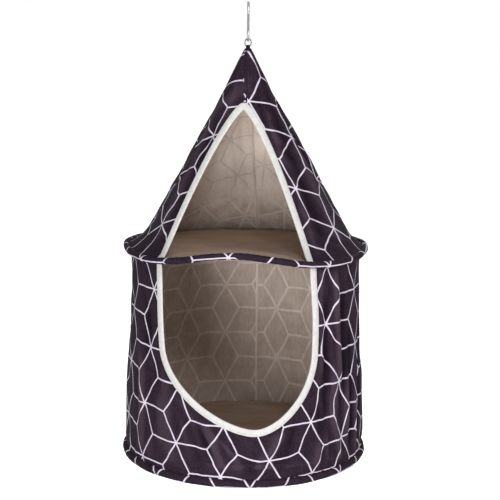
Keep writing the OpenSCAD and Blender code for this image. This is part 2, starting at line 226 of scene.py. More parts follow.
def random_waves(count, low, high, height):
    """Small waves that run mostly up and down, as cloth that was folded keeps."""
    made = []
    for _ in range(count):
        across = 2 * np.pi / RNG.uniform(low, high)
        made.append((across, across * RNG.uniform(-0.45, 0.45), RNG.uniform(0, 6.28), height))
    return made


def waved(waves, u, v):
    total = 0 * u + 0 * v
    for across, down, phase, height in waves:
        total = total + height * np.sin(across * u + down * v + phase)
    return total


def random_creases(count, low, high, longest):
    """Soft creases for the sides and the rear, which the photograph doesn't show."""
    made = []
    for i in range(count):
        a = 76 + 208 * (i + RNG.uniform(0.2, 0.8)) / count
        top = RNG.uniform(mix(low, high, 0.35), high)
        end = max(low, top - RNG.uniform(0.35, 1) * longest)
        way = 1 if i % 2 else -1
        made.append((a, top, a + RNG.uniform(-7, 7), end, RNG.uniform(7, 13), way * RNG.uniform(1.4, 3)))
    return made


SHOWN_CREASES = list(DRUM_CREASES)
DRUM_CREASES += random_creases(26, -352, -15, 300)
CONE_CREASES += random_creases(18, 15, 330, 250)
DRUM_WAVES = random_waves(12, 26, 70, 0.22)
CONE_WAVES = random_waves(12, 22, 60, 0.2)
CREASE_GAIN, LINING_FOLD, FOLD_PITCH = 1.5, 2.2, 17


def each_crease(creases, a, v, r):
    """For each crease: share of it passed, mm across it, its half width and height, turn and drop."""
    for a0, v0, a1, v1, width, height in creases:
        t = (v - v0) / (v1 - v0)
        across = turned(a - np.radians(mix(a0, a1, t))) * r
        yield t, across, width, height, np.radians(a1 - a0), v1 - v0


def creased(creases, a, v, r):
    """Height of all the creases at an angle and height on a wall of radius r."""
    total = np.zeros(np.broadcast(a, v).shape)
    for t, across, width, height, turn, drop in each_crease(creases, a, v, r):
        across /= math.sqrt(1 + (turn * DRUM_R / drop) ** 2)
        ease = min(0.35, 25 / abs(drop))
        fade = smooth((t + ease) / (2 * ease)) * smooth((1 + ease - t) / (2 * ease))
        total += CREASE_GAIN * height * np.exp(-(np.abs(across / width) ** 1.5)) * fade
    return total


def taken_up(creases, a, v, r):
    """Length of cloth that the creases take up between the middle and an angle."""
    total = np.zeros(np.broadcast(a, v).shape)
    for t, across, width, height, _, _ in each_crease(creases, a, v, r):
        fade = smooth((t + 0.2) / 0.4) * smooth((1.2 - t) / 0.4)
        step = np.tanh(1.2 * across / width) * smooth((300 - np.abs(across)) / 200)
        total += 0.4 * height * height / width * step * fade
    return total


def gathered(a, away, deep, reach):
    """Small uneven puckers at a sewn edge, at a distance away from it."""
    waves = np.sin(47 * a + 1.3 * np.sin(5 * a)) + 0.7 * np.sin(71 * a + 2 * np.sin(3 * a + 1))
    return deep * 0.6 * waves * np.exp(-away / reach)


def beside_edge(edge, a, v, r):
    """0 under a doorway's binding, rising to 1 further out on the cloth."""
    a, v = np.broadcast_arrays(a, v)
    edge_a, edge_v = (x[::2] for x in edge())
    r = np.broadcast_to(r, a.shape)
    across = turned(a[..., None] - edge_a) * r[..., None]
    away = np.sqrt((across**2 + (v[..., None] - edge_v) ** 2).min(-1))
    return smooth((away - 6) / 12)


def drum_folds(a, d):
    """Height of the drum's folds, which fade at its rims and beside the doorway."""
    edge = smooth(d / 22) * smooth((WALL_DEPTH - d) / 18) * beside_edge(door_edge, a, d, DRUM_R)
    folds = creased(DRUM_CREASES, a, -d, DRUM_R) + draped(DRUM_DRAPES, a, -d, DRUM_R)
    return (folds + waved(DRUM_WAVES, DRUM_R * turned(a - REAR_SEAM), d)) * edge


def window(a, middle, half):
    """1 at an angle in degrees, falling to 0 at a half width on each side of it."""
    away = np.abs(turned(a - math.radians(middle))) / math.radians(half)
    return np.cos(np.pi / 2 * np.clip(away, 0, 1)) ** 2


def drum_relief(a, d):
    """How far the drum's cloth stands out of its plain wall, with its slack left side."""
    slack = -3.0 * window(a, -88, 38) * smooth((d - 20) / 80) * smooth((WALL_DEPTH - d) / 40)
    slack = slack + 1.6 * np.cos(5 * a + 0.8) * np.sin(np.pi * np.clip(d / WALL_DEPTH, 0, 1))
    rims = gathered(a, d, 0.5, 18) + gathered(a + 0.6, WALL_DEPTH - d, 0.9, 16)
    return drum_folds(a, d) + slack + rims


def cone_folds(a, h):
    """Height of the cone's folds, which fade at its rims and beside the doorway."""
    r = np.maximum(cone_r(h), 30)
    edge = smooth(h / 22) * smooth((CONE_H + 8 - h) / 60) * beside_edge(arch_edge, a, h, r)
    folds = creased(CONE_CREASES, a, h, r) + waved(CONE_WAVES, 0.6 * r * turned(a - REAR_SEAM), h)
    return folds * edge * smooth(cone_r(h) / 60)


def cone_slack(a, h):
    """The left side of the cone hangs in a little and the right side bellies at its foot."""
    left = 7.5 * smooth(h / 130) * smooth((CONE_H - h) / 150) + 4.5 * np.exp(-(((h - 24) / 22) ** 2))
    right = 4.5 * np.exp(-(((h - 38) / 26) ** 2)) - 2.5 * smooth((h - 150) / 60) * smooth((CONE_H - h) / 90)
    return right * window(a, 82, 40) - left * window(a, -84, 42)


def cone_relief(a, h):
    """How far the cone's cloth stands out of the plain cone."""
    tip = cone_slack(a, h) + 0.5 * np.cos(9 * a + 0.5) * smooth((h - 250) / 60)
    return cone_folds(a, h) + gathered(a + 0.3, h, 0.6, 13) + tip


def drum_point(a, d, inward):
    z = UPPER_Z + lift(a) * np.maximum(0, 1 - d / DOOR_STRAIGHT) - np.maximum(d, 2)
    return around(wall_r(d) + drum_relief(a, d) - inward, a, z)


def slack_lining(a, h):
    """Upright folds of the cone's lining beside its rear seam, in mm into the cave."""
    side = turned(a - REAR_SEAM) * np.maximum(cone_r(h), 30)
    wave = 0.5 - 0.5 * np.cos(2 * np.pi * (side + 2 * np.sin(h / 40)) / FOLD_PITCH)
    there = smooth(side / 5) * smooth((75 - side) / 25) * smooth((h - 45) / 60) * smooth((250 - h) / 40)
    return LINING_FOLD * wave * there


def cone_point(a, h, inward):
    steep = math.sqrt(1 + CONE_SLOPE**2)
    z = UPPER_Z + lift(a) * np.maximum(0, 1 - h / (2 * FLARE_H)) + np.maximum(h, 2)
    r = np.maximum(cone_r(h) + cone_relief(a, h) - inward * steep, 1.2)
    return around(r, a, z)


# The print: stars on a triangular grid, laid on each cloth.

# Where some stars of the drum's print sit: angle, height, column and row of the grid.
DRUM_STARS = [
    (-50.2, -53, -2, 2), (-52.2, -155, -2, 1), (-54.8, -256, -2, 0), (-55.6, -352, -2, -1),
    (-32.8, -308, -1, -0.5), (-9.4, -269, 0, 0), (-10.6, -357, 0, -1), (12.0, -328, 1, -0.5),
    (32.8, -270, 2, 0), (33.9, -360, 2, -1), (50.2, -210, 3, 0.5), (43.3, -106, 3, 1.5),
    (42.5, -4, 3, 2.5), (68.0, -59, 4, 2), (68.0, -157, 4, 1), (70.5, -259, 4, 0),
    (76.2, -357, 4, -1), (-73.5, -101, -3, 1.5), (-74.1, -198, -3, 0.5), (-77.7, -298, -3, -0.5),
]  # fmt: skip
COLUMN, ROW, GRID_W = 79.0, 96.0, math.sqrt(3) / 2
STAR_REACH = 18.0


def on_grid(u, v, star_u, star_v, stars, column, row):
    """Place on the print's grid, shifted so that the stars land where they're seen."""
    off_u, off_v = column * stars[:, 2] - star_u, row * stars[:, 3] - star_v
    far = (u[..., None] - star_u) ** 2 + (v[..., None] - star_v) ** 2
    weight = 1 / (far + STAR_REACH**2) ** 2
    weight /= weight.sum(-1, keepdims=True)
    u, v = u + (weight * off_u).sum(-1), v + (weight * off_v).sum(-1)
    return np.stack([u / column * GRID_W, v / row], -1)


def drum_print(a, d):
    """Place of the drum's cloth on the print's grid, with what its creases take up."""

    def unrolled(a, z):
        return DRUM_R * a + taken_up(SHOWN_CREASES, a, z, DRUM_R)

    stars = np.array(DRUM_STARS)
    star_a, star_z = np.radians(stars[:, 0]), stars[:, 1]
    return on_grid(unrolled(a, -d), -d, unrolled(star_a, star_z), star_z, stars, COLUMN, ROW)


LINING_LEFT, LINING_RIGHT, LINING_UP = 612.5, -663.5, 115.3
LINING_COLUMN, LINING_ROW = 75.5, 97.5


def lining_print(a, d):
    """The print showing through the drum's lining, placed by the three stars at the rear."""
    u = DRUM_R * a + np.where(a < 0, LINING_LEFT, LINING_RIGHT)
    return np.stack([u / LINING_COLUMN * GRID_W, (LINING_UP - d) / LINING_ROW], -1)


# The same for the cone, each half laid on its own flat cut: angle, height, column and row.
CONE_STARS_LEFT = [
    (-46.2, 198, 0, 0), (-34.8, 245, 1 / 3, 0.5), (-55.4, 146, -1 / 3, -0.5), (-58.1, 98, -2 / 3, -1),
    (-62.6, 49, -1, -1.5), (-83.0, 123, -1, -0.5),
]  # fmt: skip
CONE_STARS_RIGHT = [
    (2.3, 257, 0, 0), (64.5, 195, 1, -0.5), (40.3, 116, 1, -1.5), (62.9, 46, 2, -2),
    (51.0, 295, 1 / 3, 0.5), (61.4, 246, 2 / 3, 0), (33.0, 164, 2 / 3, -1), (63.2, 145, 4 / 3, -1),
    (64.4, 98, 5 / 3, -1.5), (44.3, 68, 4 / 3, -2), (46.4, 18, 5 / 3, -2.5),
]  # fmt: skip
CONE_COLUMN, CONE_ROW, CONE_REACH = 81.5, 95.0, 347.0
CONE_TILT = math.radians(28.1)
CONE_FLAT = math.sin(CONE_TILT)
# Where the first star of each half sits on the flat cut, and the same for the lining's left half.
CONE_START_LEFT, CONE_START_RIGHT = (-61, 156.3), (1.5, 104.3)
CONE_LINING_START, CONE_LINING_CELL, CONE_LINING_TURN = (-322.3, 110.9), 84, math.radians(25.2)


def cone_cut(a, h):
    """Place on the flat cut of the cone, across and down from its tip."""
    reach = (CONE_REACH - h) / math.cos(CONE_TILT)
    return reach * np.sin(a * CONE_FLAT), reach * np.cos(a * CONE_FLAT)


def cone_print(a, h, left=False):
    """Place on the print's grid on the flat cut of the cone, for its right or left half."""
    x0, y0 = CONE_START_LEFT if left else CONE_START_RIGHT
    stars = np.array(CONE_STARS_LEFT if left else CONE_STARS_RIGHT)
    x, y = cone_cut(a, h)
    star_x, star_y = cone_cut(np.radians(stars[:, 0]), stars[:, 1])
    return on_grid(x - x0, y0 - y, star_x - x0, y0 - star_y, stars, CONE_COLUMN, CONE_ROW)


def cone_print_left(a, h):
    return cone_print(a, h, True)


def cone_lining_left(a, h):
    """The print showing through the lining's left half, placed by two stars low at the rear."""
    x, y = cone_cut(a, h)
    x0, y0 = CONE_LINING_START
    across, up = (x - x0) / CONE_LINING_CELL, (y0 - y) / CONE_LINING_CELL
    c, s = math.cos(CONE_LINING_TURN), math.sin(CONE_LINING_TURN)
    return np.stack([across * c + up * s, up * c - across * s], -1)


# Meshes.


def add_mesh(name, points, faces, smooth_faces=True):
    mesh = bpy.data.meshes.new(name)
    mesh.from_pydata((np.asarray(points, float).reshape(-1, 3) * MM).tolist(), [], faces)
    mesh.polygons.foreach_set("use_smooth", [smooth_faces] * len(mesh.polygons))
    mesh.update()
    obj = bpy.data.objects.new(name, mesh)
    bpy.context.scene.collection.objects.link(obj)
    return obj


def grid_faces(rows, cols, flip=False):
    j, i = np.meshgrid(np.arange(rows - 1), np.arange(cols - 1), indexing="ij")
    a, b = j * cols + i, (j + 1) * cols + i
    quad = np.stack([a, b, b + 1, a + 1], -1).reshape(-1, 4)
    return quad[:, ::-1] if flip else quad


def plain_uv(obj):
    """Puts a whole piece on one spot of the print that has no line."""
    layer = obj.data.uv_layers.new(name="print")
    layer.data.foreach_set("uv", np.full(len(obj.data.loops) * 2, 0.21))
    return obj


def give_crest(obj, folds):
    """Keeps how far each point stands out of the smooth cloth, from -1 to 1, from which the cloth's
    material paints highlight on the crests and shade in the valleys.
    """
    layer = obj.data.attributes.new("crest", "FLOAT", "POINT")
    layer.data.foreach_set("value", np.tanh(folds / 2.6).astype(np.float32).ravel())


def cloth_grid(name, points, uv_right, uv_left, split, flip=False):
    """A sheet of cloth from a grid of points, with the print cut along its rear seam."""
    rows, cols = points.shape[:2]
    faces = grid_faces(rows, cols, flip)
    obj = add_mesh(name, points, faces.tolist())
    layer = obj.data.uv_layers.new(name="print")
    right, left = uv_right.reshape(-1, 2), uv_left.reshape(-1, 2)
    column = np.tile(np.arange(cols - 1), rows - 1)
    uv = np.where((column < split)[:, None, None], right[faces], left[faces])
    layer.data.foreach_set("uv", uv.ravel())
    return obj


def weld(obj, distance=0.02 * MM):
    bm = bmesh.new()
    bm.from_mesh(obj.data)
    bmesh.ops.remove_doubles(bm, verts=bm.verts, dist=distance)
    bm.to_mesh(obj.data)
    bm.free()
    return obj


def round_columns(left, right, split, cols):
    """Angles from the right jamb round the rear seam to the left jamb, for each row."""
    first = np.linspace(0, 1, split + 1)[None, :]
    last = np.linspace(0, 1, cols - split)[None, 1:]
    right, left = right[:, None], left[:, None] + 2 * np.pi
    return np.concatenate([mix(right, REAR_SEAM, first), mix(REAR_SEAM, left, last)], 1)


def drum_rows(straight, bottom, low):
    """Depths of the drum's rows, closer together round the doorway's bottom."""
    beside = np.linspace(0, DOOR_STRAIGHT, straight, endpoint=False)
    curved = DOOR_STRAIGHT + DOOR_ROUND * np.sin(np.linspace(0, np.pi / 2, bottom))
    return np.concatenate([beside, curved, np.linspace(DOOR_DEPTH, WALL_DEPTH + 4, low + 1)[1:]])


def cone_rows(dome, tip, arch):
    """Heights of the cone's rows, from its tip down."""
    over = CONE_H + TIP_DOME * np.sin(np.linspace(0.48 * np.pi, 0, dome, endpoint=False))
    spread = np.linspace(0, 1, arch) ** (1 / ARCH_POWER)
    plain = np.linspace(CONE_H, ARCH_H, tip, endpoint=False)
    return np.concatenate([over, plain, ARCH_H * (1 - spread)])


def wall_sheet(name, wall, values, cols, inward, right, left, flip=False):
    """Cloth of a wall from its doorway's right jamb to the left, printed as two cuts."""
    angle, point, folds = wall
    split = cols // 2
    a = round_columns(angle(values, -1), angle(values, 1), split, cols)
    v = values[:, None] + 0 * a
    prints = right(a, v), left(a - 2 * np.pi, v)
    obj = cloth_grid(name, point(a, v, inward), *prints, split, flip)
    give_crest(obj, folds(a, v))
    return weld(obj)


def unit(v):
    return v / np.maximum(np.linalg.norm(v, axis=-1, keepdims=True), 1e-9)


def along(path, closed=False):
    if closed:
        return unit(np.roll(path, -1, 0) - np.roll(path, 1, 0))
    return unit(np.gradient(path, axis=0))


def way_along(path):
    """Length from the start of a path to each of its points."""
    return np.concatenate([[0], np.cumsum(np.linalg.norm(np.diff(path, axis=0), axis=1))])


def at_way(at, way, values):
    """Values given along a path, read at other lengths of it."""
    return np.stack([np.interp(at, way, values[:, k]) for k in range(3)], -1)


def even_path(path, step):
    """The same path with points spaced evenly by about step."""
    way = way_along(path)
    return at_way(np.linspace(0, way[-1], max(8, int(way[-1] / step))), way, path)


def ring_faces(rings, sides, closed):
    i = np.arange(rings if closed else rings - 1)[:, None] + 0 * np.arange(sides)
    k = np.arange(sides)[None, :] + 0 * i
    n, m = (i + 1) % rings, (k + 1) % sides
    quad = np.stack([i * sides + k, n * sides + k, n * sides + m, i * sides + m], -1)
    faces = quad.reshape(-1, 4)[:, ::-1].tolist()
    if not closed:
        faces.append(list(range(sides)))
        faces.append([(rings - 1) * sides + s for s in reversed(range(sides))])
    return faces


def swept(name, path, out, half_wide, half_thin, sides=14, closed=False, square=2.6):
    """A band or cord along a path: wide across the path, thin along out."""
    tangent = along(path, closed)
    wide = unit(np.cross(tangent, out))
    thin = np.cross(wide, tangent)
    t = np.arange(sides) / sides * 2 * np.pi
    c, s = np.cos(t), np.sin(t)
    c = np.sign(c) * np.abs(c) ** (2 / square)
    s = np.sign(s) * np.abs(s) ** (2 / square)
    w, h = np.broadcast_to(half_wide, len(path)), np.broadcast_to(half_thin, len(path))
    across, up = wide[:, None] * (w[:, None] * c)[..., None], thin[:, None] * (h[:, None] * s)[..., None]
    return add_mesh(name, path[:, None] + across - up, ring_faces(len(path), sides, closed))


def stitches(name, rows, long=3.2, gap=1.8, thick=0.35):
    """Rows of small raised thread stitches. Each row is a path with the way out of the cloth."""
    points, faces = [], []
    sides = 6
    turn = np.arange(sides) / sides * 2 * np.pi
    one = ring_faces(4, sides, False)
    for path, out in rows:
        way = way_along(path)
        for s in np.arange(1, way[-1] - long, long + gap):
            at = s + np.array([0, 0.25, 0.75, 1]) * long
            up = unit(at_way(at, way, out))
            line = at_way(at, way, path) + up * (np.array([-0.3, 0.25, 0.25, -0.3]) * thick * 2)[:, None]
            side = unit(np.cross(along(line), up))
            circle = side[:, None] * np.cos(turn)[:, None] + up[:, None] * np.sin(turn)[:, None]
            base = len(points) * sides
            points.extend(line[:, None] + circle * thick)
            faces.extend([base + x for x in f] for f in one)
    return add_mesh(name, np.array(points).reshape(-1, 3), faces)


# Materials.


class Nodes:
    """Short calls that add and link the nodes of one material, or of the world."""

    def __init__(self, name, kinds=bpy.data.materials, shader="Principled BSDF"):
        self.made = kinds.new(name)
        self.made.use_nodes = True
        self.tree = self.made.node_tree
        self.shader = self.tree.nodes[shader]

    def add(self, kind, inputs=None, **settings):
        node = self.tree.nodes.new(kind)
        for key, value in settings.items():
            setattr(node, key, value)
        for key, value in (inputs or {}).items():
            if isinstance(value, bpy.types.NodeSocket):
                self.tree.links.new(value, node.inputs[key])
            else:
                node.inputs[key].default_value = value
        return node

    def math(self, operation, a, b=0.0, c=0.0):
        return self.add("ShaderNodeMath", {0: a, 1: b, 2: c}, operation=operation).outputs[0]

    def vector(self, operation, a, b=(0, 0, 0), c=(0, 0, 0)):
        node = self.add("ShaderNodeVectorMath", {0: a, 1: b, 2: c}, operation=operation)
        return node.outputs["Value" if operation in ("DOT_PRODUCT", "LENGTH") else "Vector"]

    def place(self):
        return self.add("ShaderNodeTexCoord").outputs["Object"]

    def noise(self, at, scale, detail=2.0, rough=0.5):
        inputs = {"Vector": at, "Scale": scale, "Detail": detail, "Roughness": rough}
        return self.add("ShaderNodeTexNoise", inputs).outputs["Fac"]

    def ramp(self, value, low, high, to_low=0.0, to_high=1.0):
        inputs = {"Value": value, "From Min": low, "From Max": high, "To Min": to_low, "To Max": to_high}
        return self.add("ShaderNodeMapRange", inputs, interpolation_type="SMOOTHSTEP").outputs[0]

    def blend(self, share, a, b, kind="RGBA"):
        """Mixes two colours, or two vectors where kind says so."""
        node = self.add("ShaderNodeMix", {"Factor": share}, data_type=kind)
        for socket, value in (("A", a), ("B", b)):
            target = [x for x in node.inputs if x.name == socket and x.type == kind][0]
            if isinstance(value, bpy.types.NodeSocket):
                self.tree.links.new(value, target)
            else:
                target.default_value = (*value, 1)
        return [x for x in node.outputs if x.type == kind][0]

    def link(self, value, socket):
        self.tree.links.new(value, self.shader.inputs[socket])

    def set(self, **values):
        for key, value in values.items():
            self.shader.inputs[key.replace("_", " ")].default_value = value

    def bump(self, height, strength, distance):
        inputs = {"Height": height, "Strength": strength, "Distance": distance}
        self.link(self.add("ShaderNodeBump", inputs).outputs[0], "Normal")


# All colours are dimmed by this, because the lamps are bright for the sake of the caves.
TONE = 0.83


def linear(r, g, b):
    """sRGB from 0 to 255 as the linear colour that a socket takes, dimmed."""

    def one(c):
        c /= 255
        return TONE * (c / 12.92 if c <= 0.04045 else ((c + 0.055) / 1.055) ** 2.4)

    return (one(r), one(g), one(b))


WAVE_SHARE = 0.04
# Half width and softness of the print's lines, as a share of the grid.
PRINT_LINE, LINING_LINE = (0.0136, 0.0036), (0.023, 0.010)


def star_print(n, half_width, soft):
    """The print's lines on a cloth whose weave wanders a little."""
    uv = n.add("ShaderNodeUVMap", uv_map="print").outputs[0]
    wander = n.add("ShaderNodeTexNoise", {"Vector": n.place(), "Scale": 34.0, "Detail": 1.0})
    off = n.vector("SUBTRACT", wander.outputs["Color"], (0.5, 0.5, 0.5))
    off = n.vector("MULTIPLY", off, (WAVE_SHARE, WAVE_SHARE, 0))
    uv = n.vector("ADD", uv, off)
    cell = (math.sqrt(3), 1.0, 1.0)
    low, high = tuple(-x / 2 for x in cell), tuple(x / 2 for x in cell)
    one = n.vector("WRAP", uv, high, low)
    two = n.vector("WRAP", n.vector("SUBTRACT", uv, (GRID_W, 0.5, 0)), high, low)
    nearer = n.math("LESS_THAN", n.vector("LENGTH", two), n.vector("LENGTH", one))
    place = n.blend(nearer, one, two, "VECTOR")
    away = 1.0
    for normal in ((0, 1, 0), (GRID_W, 0.5, 0), (GRID_W, -0.5, 0)):
        away = n.math("MINIMUM", away, n.math("ABSOLUTE", n.vector("DOT_PRODUCT", place, normal)))
    return n.ramp(away, half_width - soft, half_width + soft, 1.0, 0.0)


def woven(n, fine=900.0):
    """Height of a fine plain weave from two crossed noises."""
    at = n.place()
    rows = n.noise(n.vector("MULTIPLY", at, (1, 1, 3.5)), fine, 1.0)
    cols = n.noise(n.vector("MULTIPLY", at, (3.5, 3.5, 1)), fine, 1.0)
    return n.math("ADD", rows, cols)


def printed_material():
    """Dark cloth with its woven threads, painted highlight on its folds' crests, painted shade in their
    valleys, and the pale print.
    """
    n = Nodes("printed_cloth")
    at = n.place()
    mottle = n.ramp(n.noise(at, 60.0, 4.0, 0.6), 0.3, 0.7)
    dark = n.blend(mottle, linear(32, 23, 32), linear(43, 32, 43))
    weave = woven(n)
    threads = n.ramp(weave, 0.75, 1.25)
    dark = n.blend(n.math("MULTIPLY", threads, 0.35), dark, linear(60, 48, 60))
    dark = n.blend(n.ramp(n.noise(at, 380.0, 2.0), 0.35, 0.75, 0.0, 0.35), dark, linear(70, 58, 70))
    # Painted highlight on the folds' crests and painted shade in their valleys, from how far each point
    # stands out.
    crest = n.add("ShaderNodeAttribute", attribute_name="crest").outputs["Fac"]
    dark = n.blend(n.ramp(crest, 0.0, 1.0, 0.0, 0.55), dark, linear(82, 69, 80))
    dark = n.blend(n.ramp(crest, -1.0, 0.0, 0.65, 0.0), dark, linear(18, 12, 19))
    lines = star_print(n, *PRINT_LINE)
    worn = n.math("MULTIPLY", lines, n.ramp(n.noise(at, 420.0, 2.0), 0.25, 0.45, 0.82, 1.0))
    height = n.add("ShaderNodeSeparateXYZ", {"Vector": at}).outputs["Z"]
    worn = n.math("MULTIPLY", worn, n.ramp(height, (TIP_Z - 4) * MM, (TIP_Z - 1) * MM, 1.0, 0.0))
    white = n.blend(mottle, linear(206, 196, 212), linear(222, 214, 228))
    n.link(n.blend(worn, dark, white), "Base Color")
    n.link(n.ramp(n.noise(at, 90.0, 2.0), 0.3, 0.7, 0.6, 0.7), "Roughness")
    n.set(Specular_IOR_Level=0.008)
    n.bump(weave, 0.28, 0.0006)
    return n.made


def lining_material(name="lining_cloth", high=(196, 179, 167), pale=(224, 207, 195), slubs=0.45):
    """Plain cloth with the print showing through, with painted light that makes it paler towards the tip of
    the cone.
    """
    n = Nodes(name)
    at = n.place()
    mottle = n.ramp(n.noise(at, 45.0, 4.0, 0.6), 0.3, 0.7)
    height = n.add("ShaderNodeSeparateXYZ", {"Vector": at}).outputs["Z"]
    # Painted light: the colour turns to high between heights of -385 and -325 mm. Where high and pale are
    # lighter than the cloth, as on the cone's lining, they are painted light.
    base = n.blend(n.ramp(height, -0.385, -0.325), linear(196, 179, 167), linear(*high))
    base = n.blend(mottle, base, n.blend(0.5, base, linear(*pale)))
    lines = star_print(n, *LINING_LINE)
    base = n.blend(n.math("MULTIPLY", lines, 0.85), base, linear(238, 228, 219))
    weave = woven(n, 800.0)
    base = n.blend(n.math("MULTIPLY", n.ramp(weave, 0.75, 1.25), 0.25), base, linear(164, 148, 136))
    slub = n.noise(n.vector("MULTIPLY", at, (3, 3, 0.6)), 130.0, 3.0, 0.6)
    base = n.blend(n.ramp(slub, 0.35, 0.75, 0.0, slubs), base, linear(168, 148, 134))
    n.link(base, "Base Color")
    n.set(Roughness=0.85, Sheen_Weight=0.1, Sheen_Roughness=0.5, Specular_IOR_Level=0.25)
    n.bump(weave, 0.25, 0.0006)
    return n.made


def tape_material(name, low, high, shine=0.3):
    n = Nodes(name)
    at = n.place()
    mottle = n.ramp(n.noise(at, 130.0, 3.0, 0.6), 0.3, 0.7)
    base = n.blend(mottle, linear(*low), linear(*high))
    weave = woven(n, 1100.0)
    between = n.math("MULTIPLY", n.ramp(weave, 0.8, 1.25), 0.2)
    base = n.blend(between, base, [0.84 * c for c in linear(*high)])
    n.link(base, "Base Color")
    n.set(Roughness=0.8, Sheen_Weight=0.15 * shine, Specular_IOR_Level=shine)
    n.bump(weave, 0.25, 0.0005)
    return n.made


def pile_material():
    n = Nodes("cushion_cloth")
    at = n.place()
    pile = n.noise(at, 1300.0, 3.0, 0.7)
    lie = n.ramp(n.noise(n.vector("MULTIPLY", at, (1, 2.2, 1)), 22.0, 3.0, 0.6), 0.3, 0.7)
    base = n.blend(lie, linear(146, 123, 107), linear(162, 140, 123))
    base = n.blend(n.math("MULTIPLY", n.ramp(pile, 0.35, 0.65), 0.35), base, linear(128, 107, 92))
    n.link(base, "Base Color")
    n.set(Roughness=0.9, Sheen_Weight=0.25, Sheen_Roughness=0.35, Specular_IOR_Level=0.2)
    n.shader.inputs["Sheen Tint"].default_value = (*linear(190, 170, 152), 1)
    n.bump(n.math("ADD", pile, n.math("MULTIPLY", lie, 0.6)), 0.35, 0.0012)
    return n.made


def metal_material(name, colour, rough, scratch):
    n = Nodes(name)
    at = n.place()
    dull = n.noise(at, 160.0, 3.0, 0.6)
    drawn = n.noise(n.vector("MULTIPLY", at, (1, 1, 0.15)), 2600.0, 2.0)
    tone = n.blend(n.ramp(dull, 0.3, 0.7), tuple(0.86 * c for c in colour), colour)
    n.link(tone, "Base Color")
    n.link(n.ramp(n.math("ADD", dull, drawn), 0.7, 1.3, rough, rough + scratch), "Roughness")
    n.set(Metallic=1.0)
    n.bump(drawn, 0.08, 0.0002)
    return n.made


# Each look is a material and the slot that it stands for. The metal parts keep their own slots.
PRINTED = printed_material(), "printed_cloth"
LINING = lining_material(), "lining_cloth"
# The cone's lining is a lit copy of the lining: painted light makes it paler all over and paler still
# towards its tip, with fewer dark slubs.
CONE_PAINTED_LIGHT = (266, 250, 237)
CONE_LINING = lining_material("cone_lining_cloth", CONE_PAINTED_LIGHT, CONE_PAINTED_LIGHT, 0.2), "lining_cloth"
TAPE = tape_material("binding_tape", (204, 202, 199), (216, 214, 211)), "binding_tape"
THREAD = tape_material("seam_thread", (196, 188, 176), (214, 206, 194)), "binding_tape"
# The seam tape's light tone is partly its own pale colour and partly a painted highlight along the seam.
SEAM_TAPE = tape_material("seam_tape", (218, 204, 193), (228, 214, 203)), "lining_cloth"
DARK_THREAD = tape_material("dark_thread", (24, 17, 25), (34, 26, 35), 0.01), "printed_cloth"
PAD = pile_material(), "cushion_cloth"
CHROME = metal_material("chrome_rod", (0.36, 0.365, 0.37), 0.28, 0.10), None
NICKEL = metal_material("steel_ring", (0.18, 0.18, 0.185), 0.28, 0.12), None
SPRING = metal_material("spring_wire", (0.44, 0.44, 0.46), 0.32, 0.18), None


def dress(obj, look, body=None, replaced=None):
    """Gives a piece the material of its look, the body that it rides on and the node it replaces."""
    material, slot = look
    obj.data.materials.clear()
    obj.data.materials.append(material)
    if replaced:
        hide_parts(replaced)
    if body:
        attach(obj, body)
    return obj


def hang(obj, look, replaced=None):
    """Dresses a piece of the drum, with no body, and bakes its place into its points."""
    dress(obj, look, None, replaced)
    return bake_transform(obj)


# The metal parts keep their solids.


def finish_metal():
    looks = {
        "s_hook": CHROME, "hanging_ring": NICKEL, "upper_hoop": SPRING,
        "upper_ferrule": NICKEL, "lower_hoop": SPRING, "lower_ferrule": NICKEL,
    }  # fmt: skip
    for node, look in looks.items():
        dress(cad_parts[node], look)


# Cone and drum.


def make_cone():
    def slack_point(a, h, inward):
        return cone_point(a, h, inward + slack_lining(a, h))

    outer, inner = (arch_angle, cone_point, cone_folds), (arch_angle, slack_point, cone_folds)
    prints, lining_prints = (cone_print, cone_print_left), (cone_print, cone_lining_left)
    cover = wall_sheet("cone_cloth", outer, cone_rows(4, 24, 96), 320, 0.0, *prints)
    rows = cone_rows(0, 16, 72)
    lining = wall_sheet("cone_lining_cloth", inner, rows, 240, CLOTH_T, *lining_prints, True)
    dress(cover, PRINTED, "canopy", "cone_cover")
    dress(lining, CONE_LINING, "canopy", "cone_lining")


def make_drum():
    wall, prints = (door_angle, drum_point, drum_folds), (lining_print, lining_print)
    cover = wall_sheet("drum_cloth", wall, drum_rows(40, 60, 34), 420, 0.0, drum_print, drum_print)
    rows = drum_rows(26, 40, 22)
    lining = wall_sheet("drum_lining_cloth", wall, rows, 260, CLOTH_T, *prints, True)
    hang(cover, PRINTED, "drum_cover")
    hang(lining, LINING, "drum_lining")


def door_edge(inset=0.0):
    """Path round the lower doorway in angle and depth, moved inset mm into the cloth."""
    d1 = np.linspace(0, DOOR_STRAIGHT, 60, endpoint=False)
    turn = np.linspace(0, np.pi, 181)
    c = np.cos(turn)
    d2 = DOOR_STRAIGHT + (DOOR_ROUND + inset) * np.sin(turn)
    half = (DOOR_W / 2 + inset) * door_round_share(c)
    x2 = door_mid(np.minimum(d2, DOOR_DEPTH)) - half + bowed(d2) * (c < 0)
    left = door_mid(d1) - DOOR_W / 2 - inset
    right = door_mid(d1[::-1]) + DOOR_W / 2 + inset + bowed(d1[::-1])
    x = np.concatenate([left, x2, right])
    d = np.concatenate([d1, d2, d1[::-1]])
    return np.arcsin(x / wall_r(d)), d


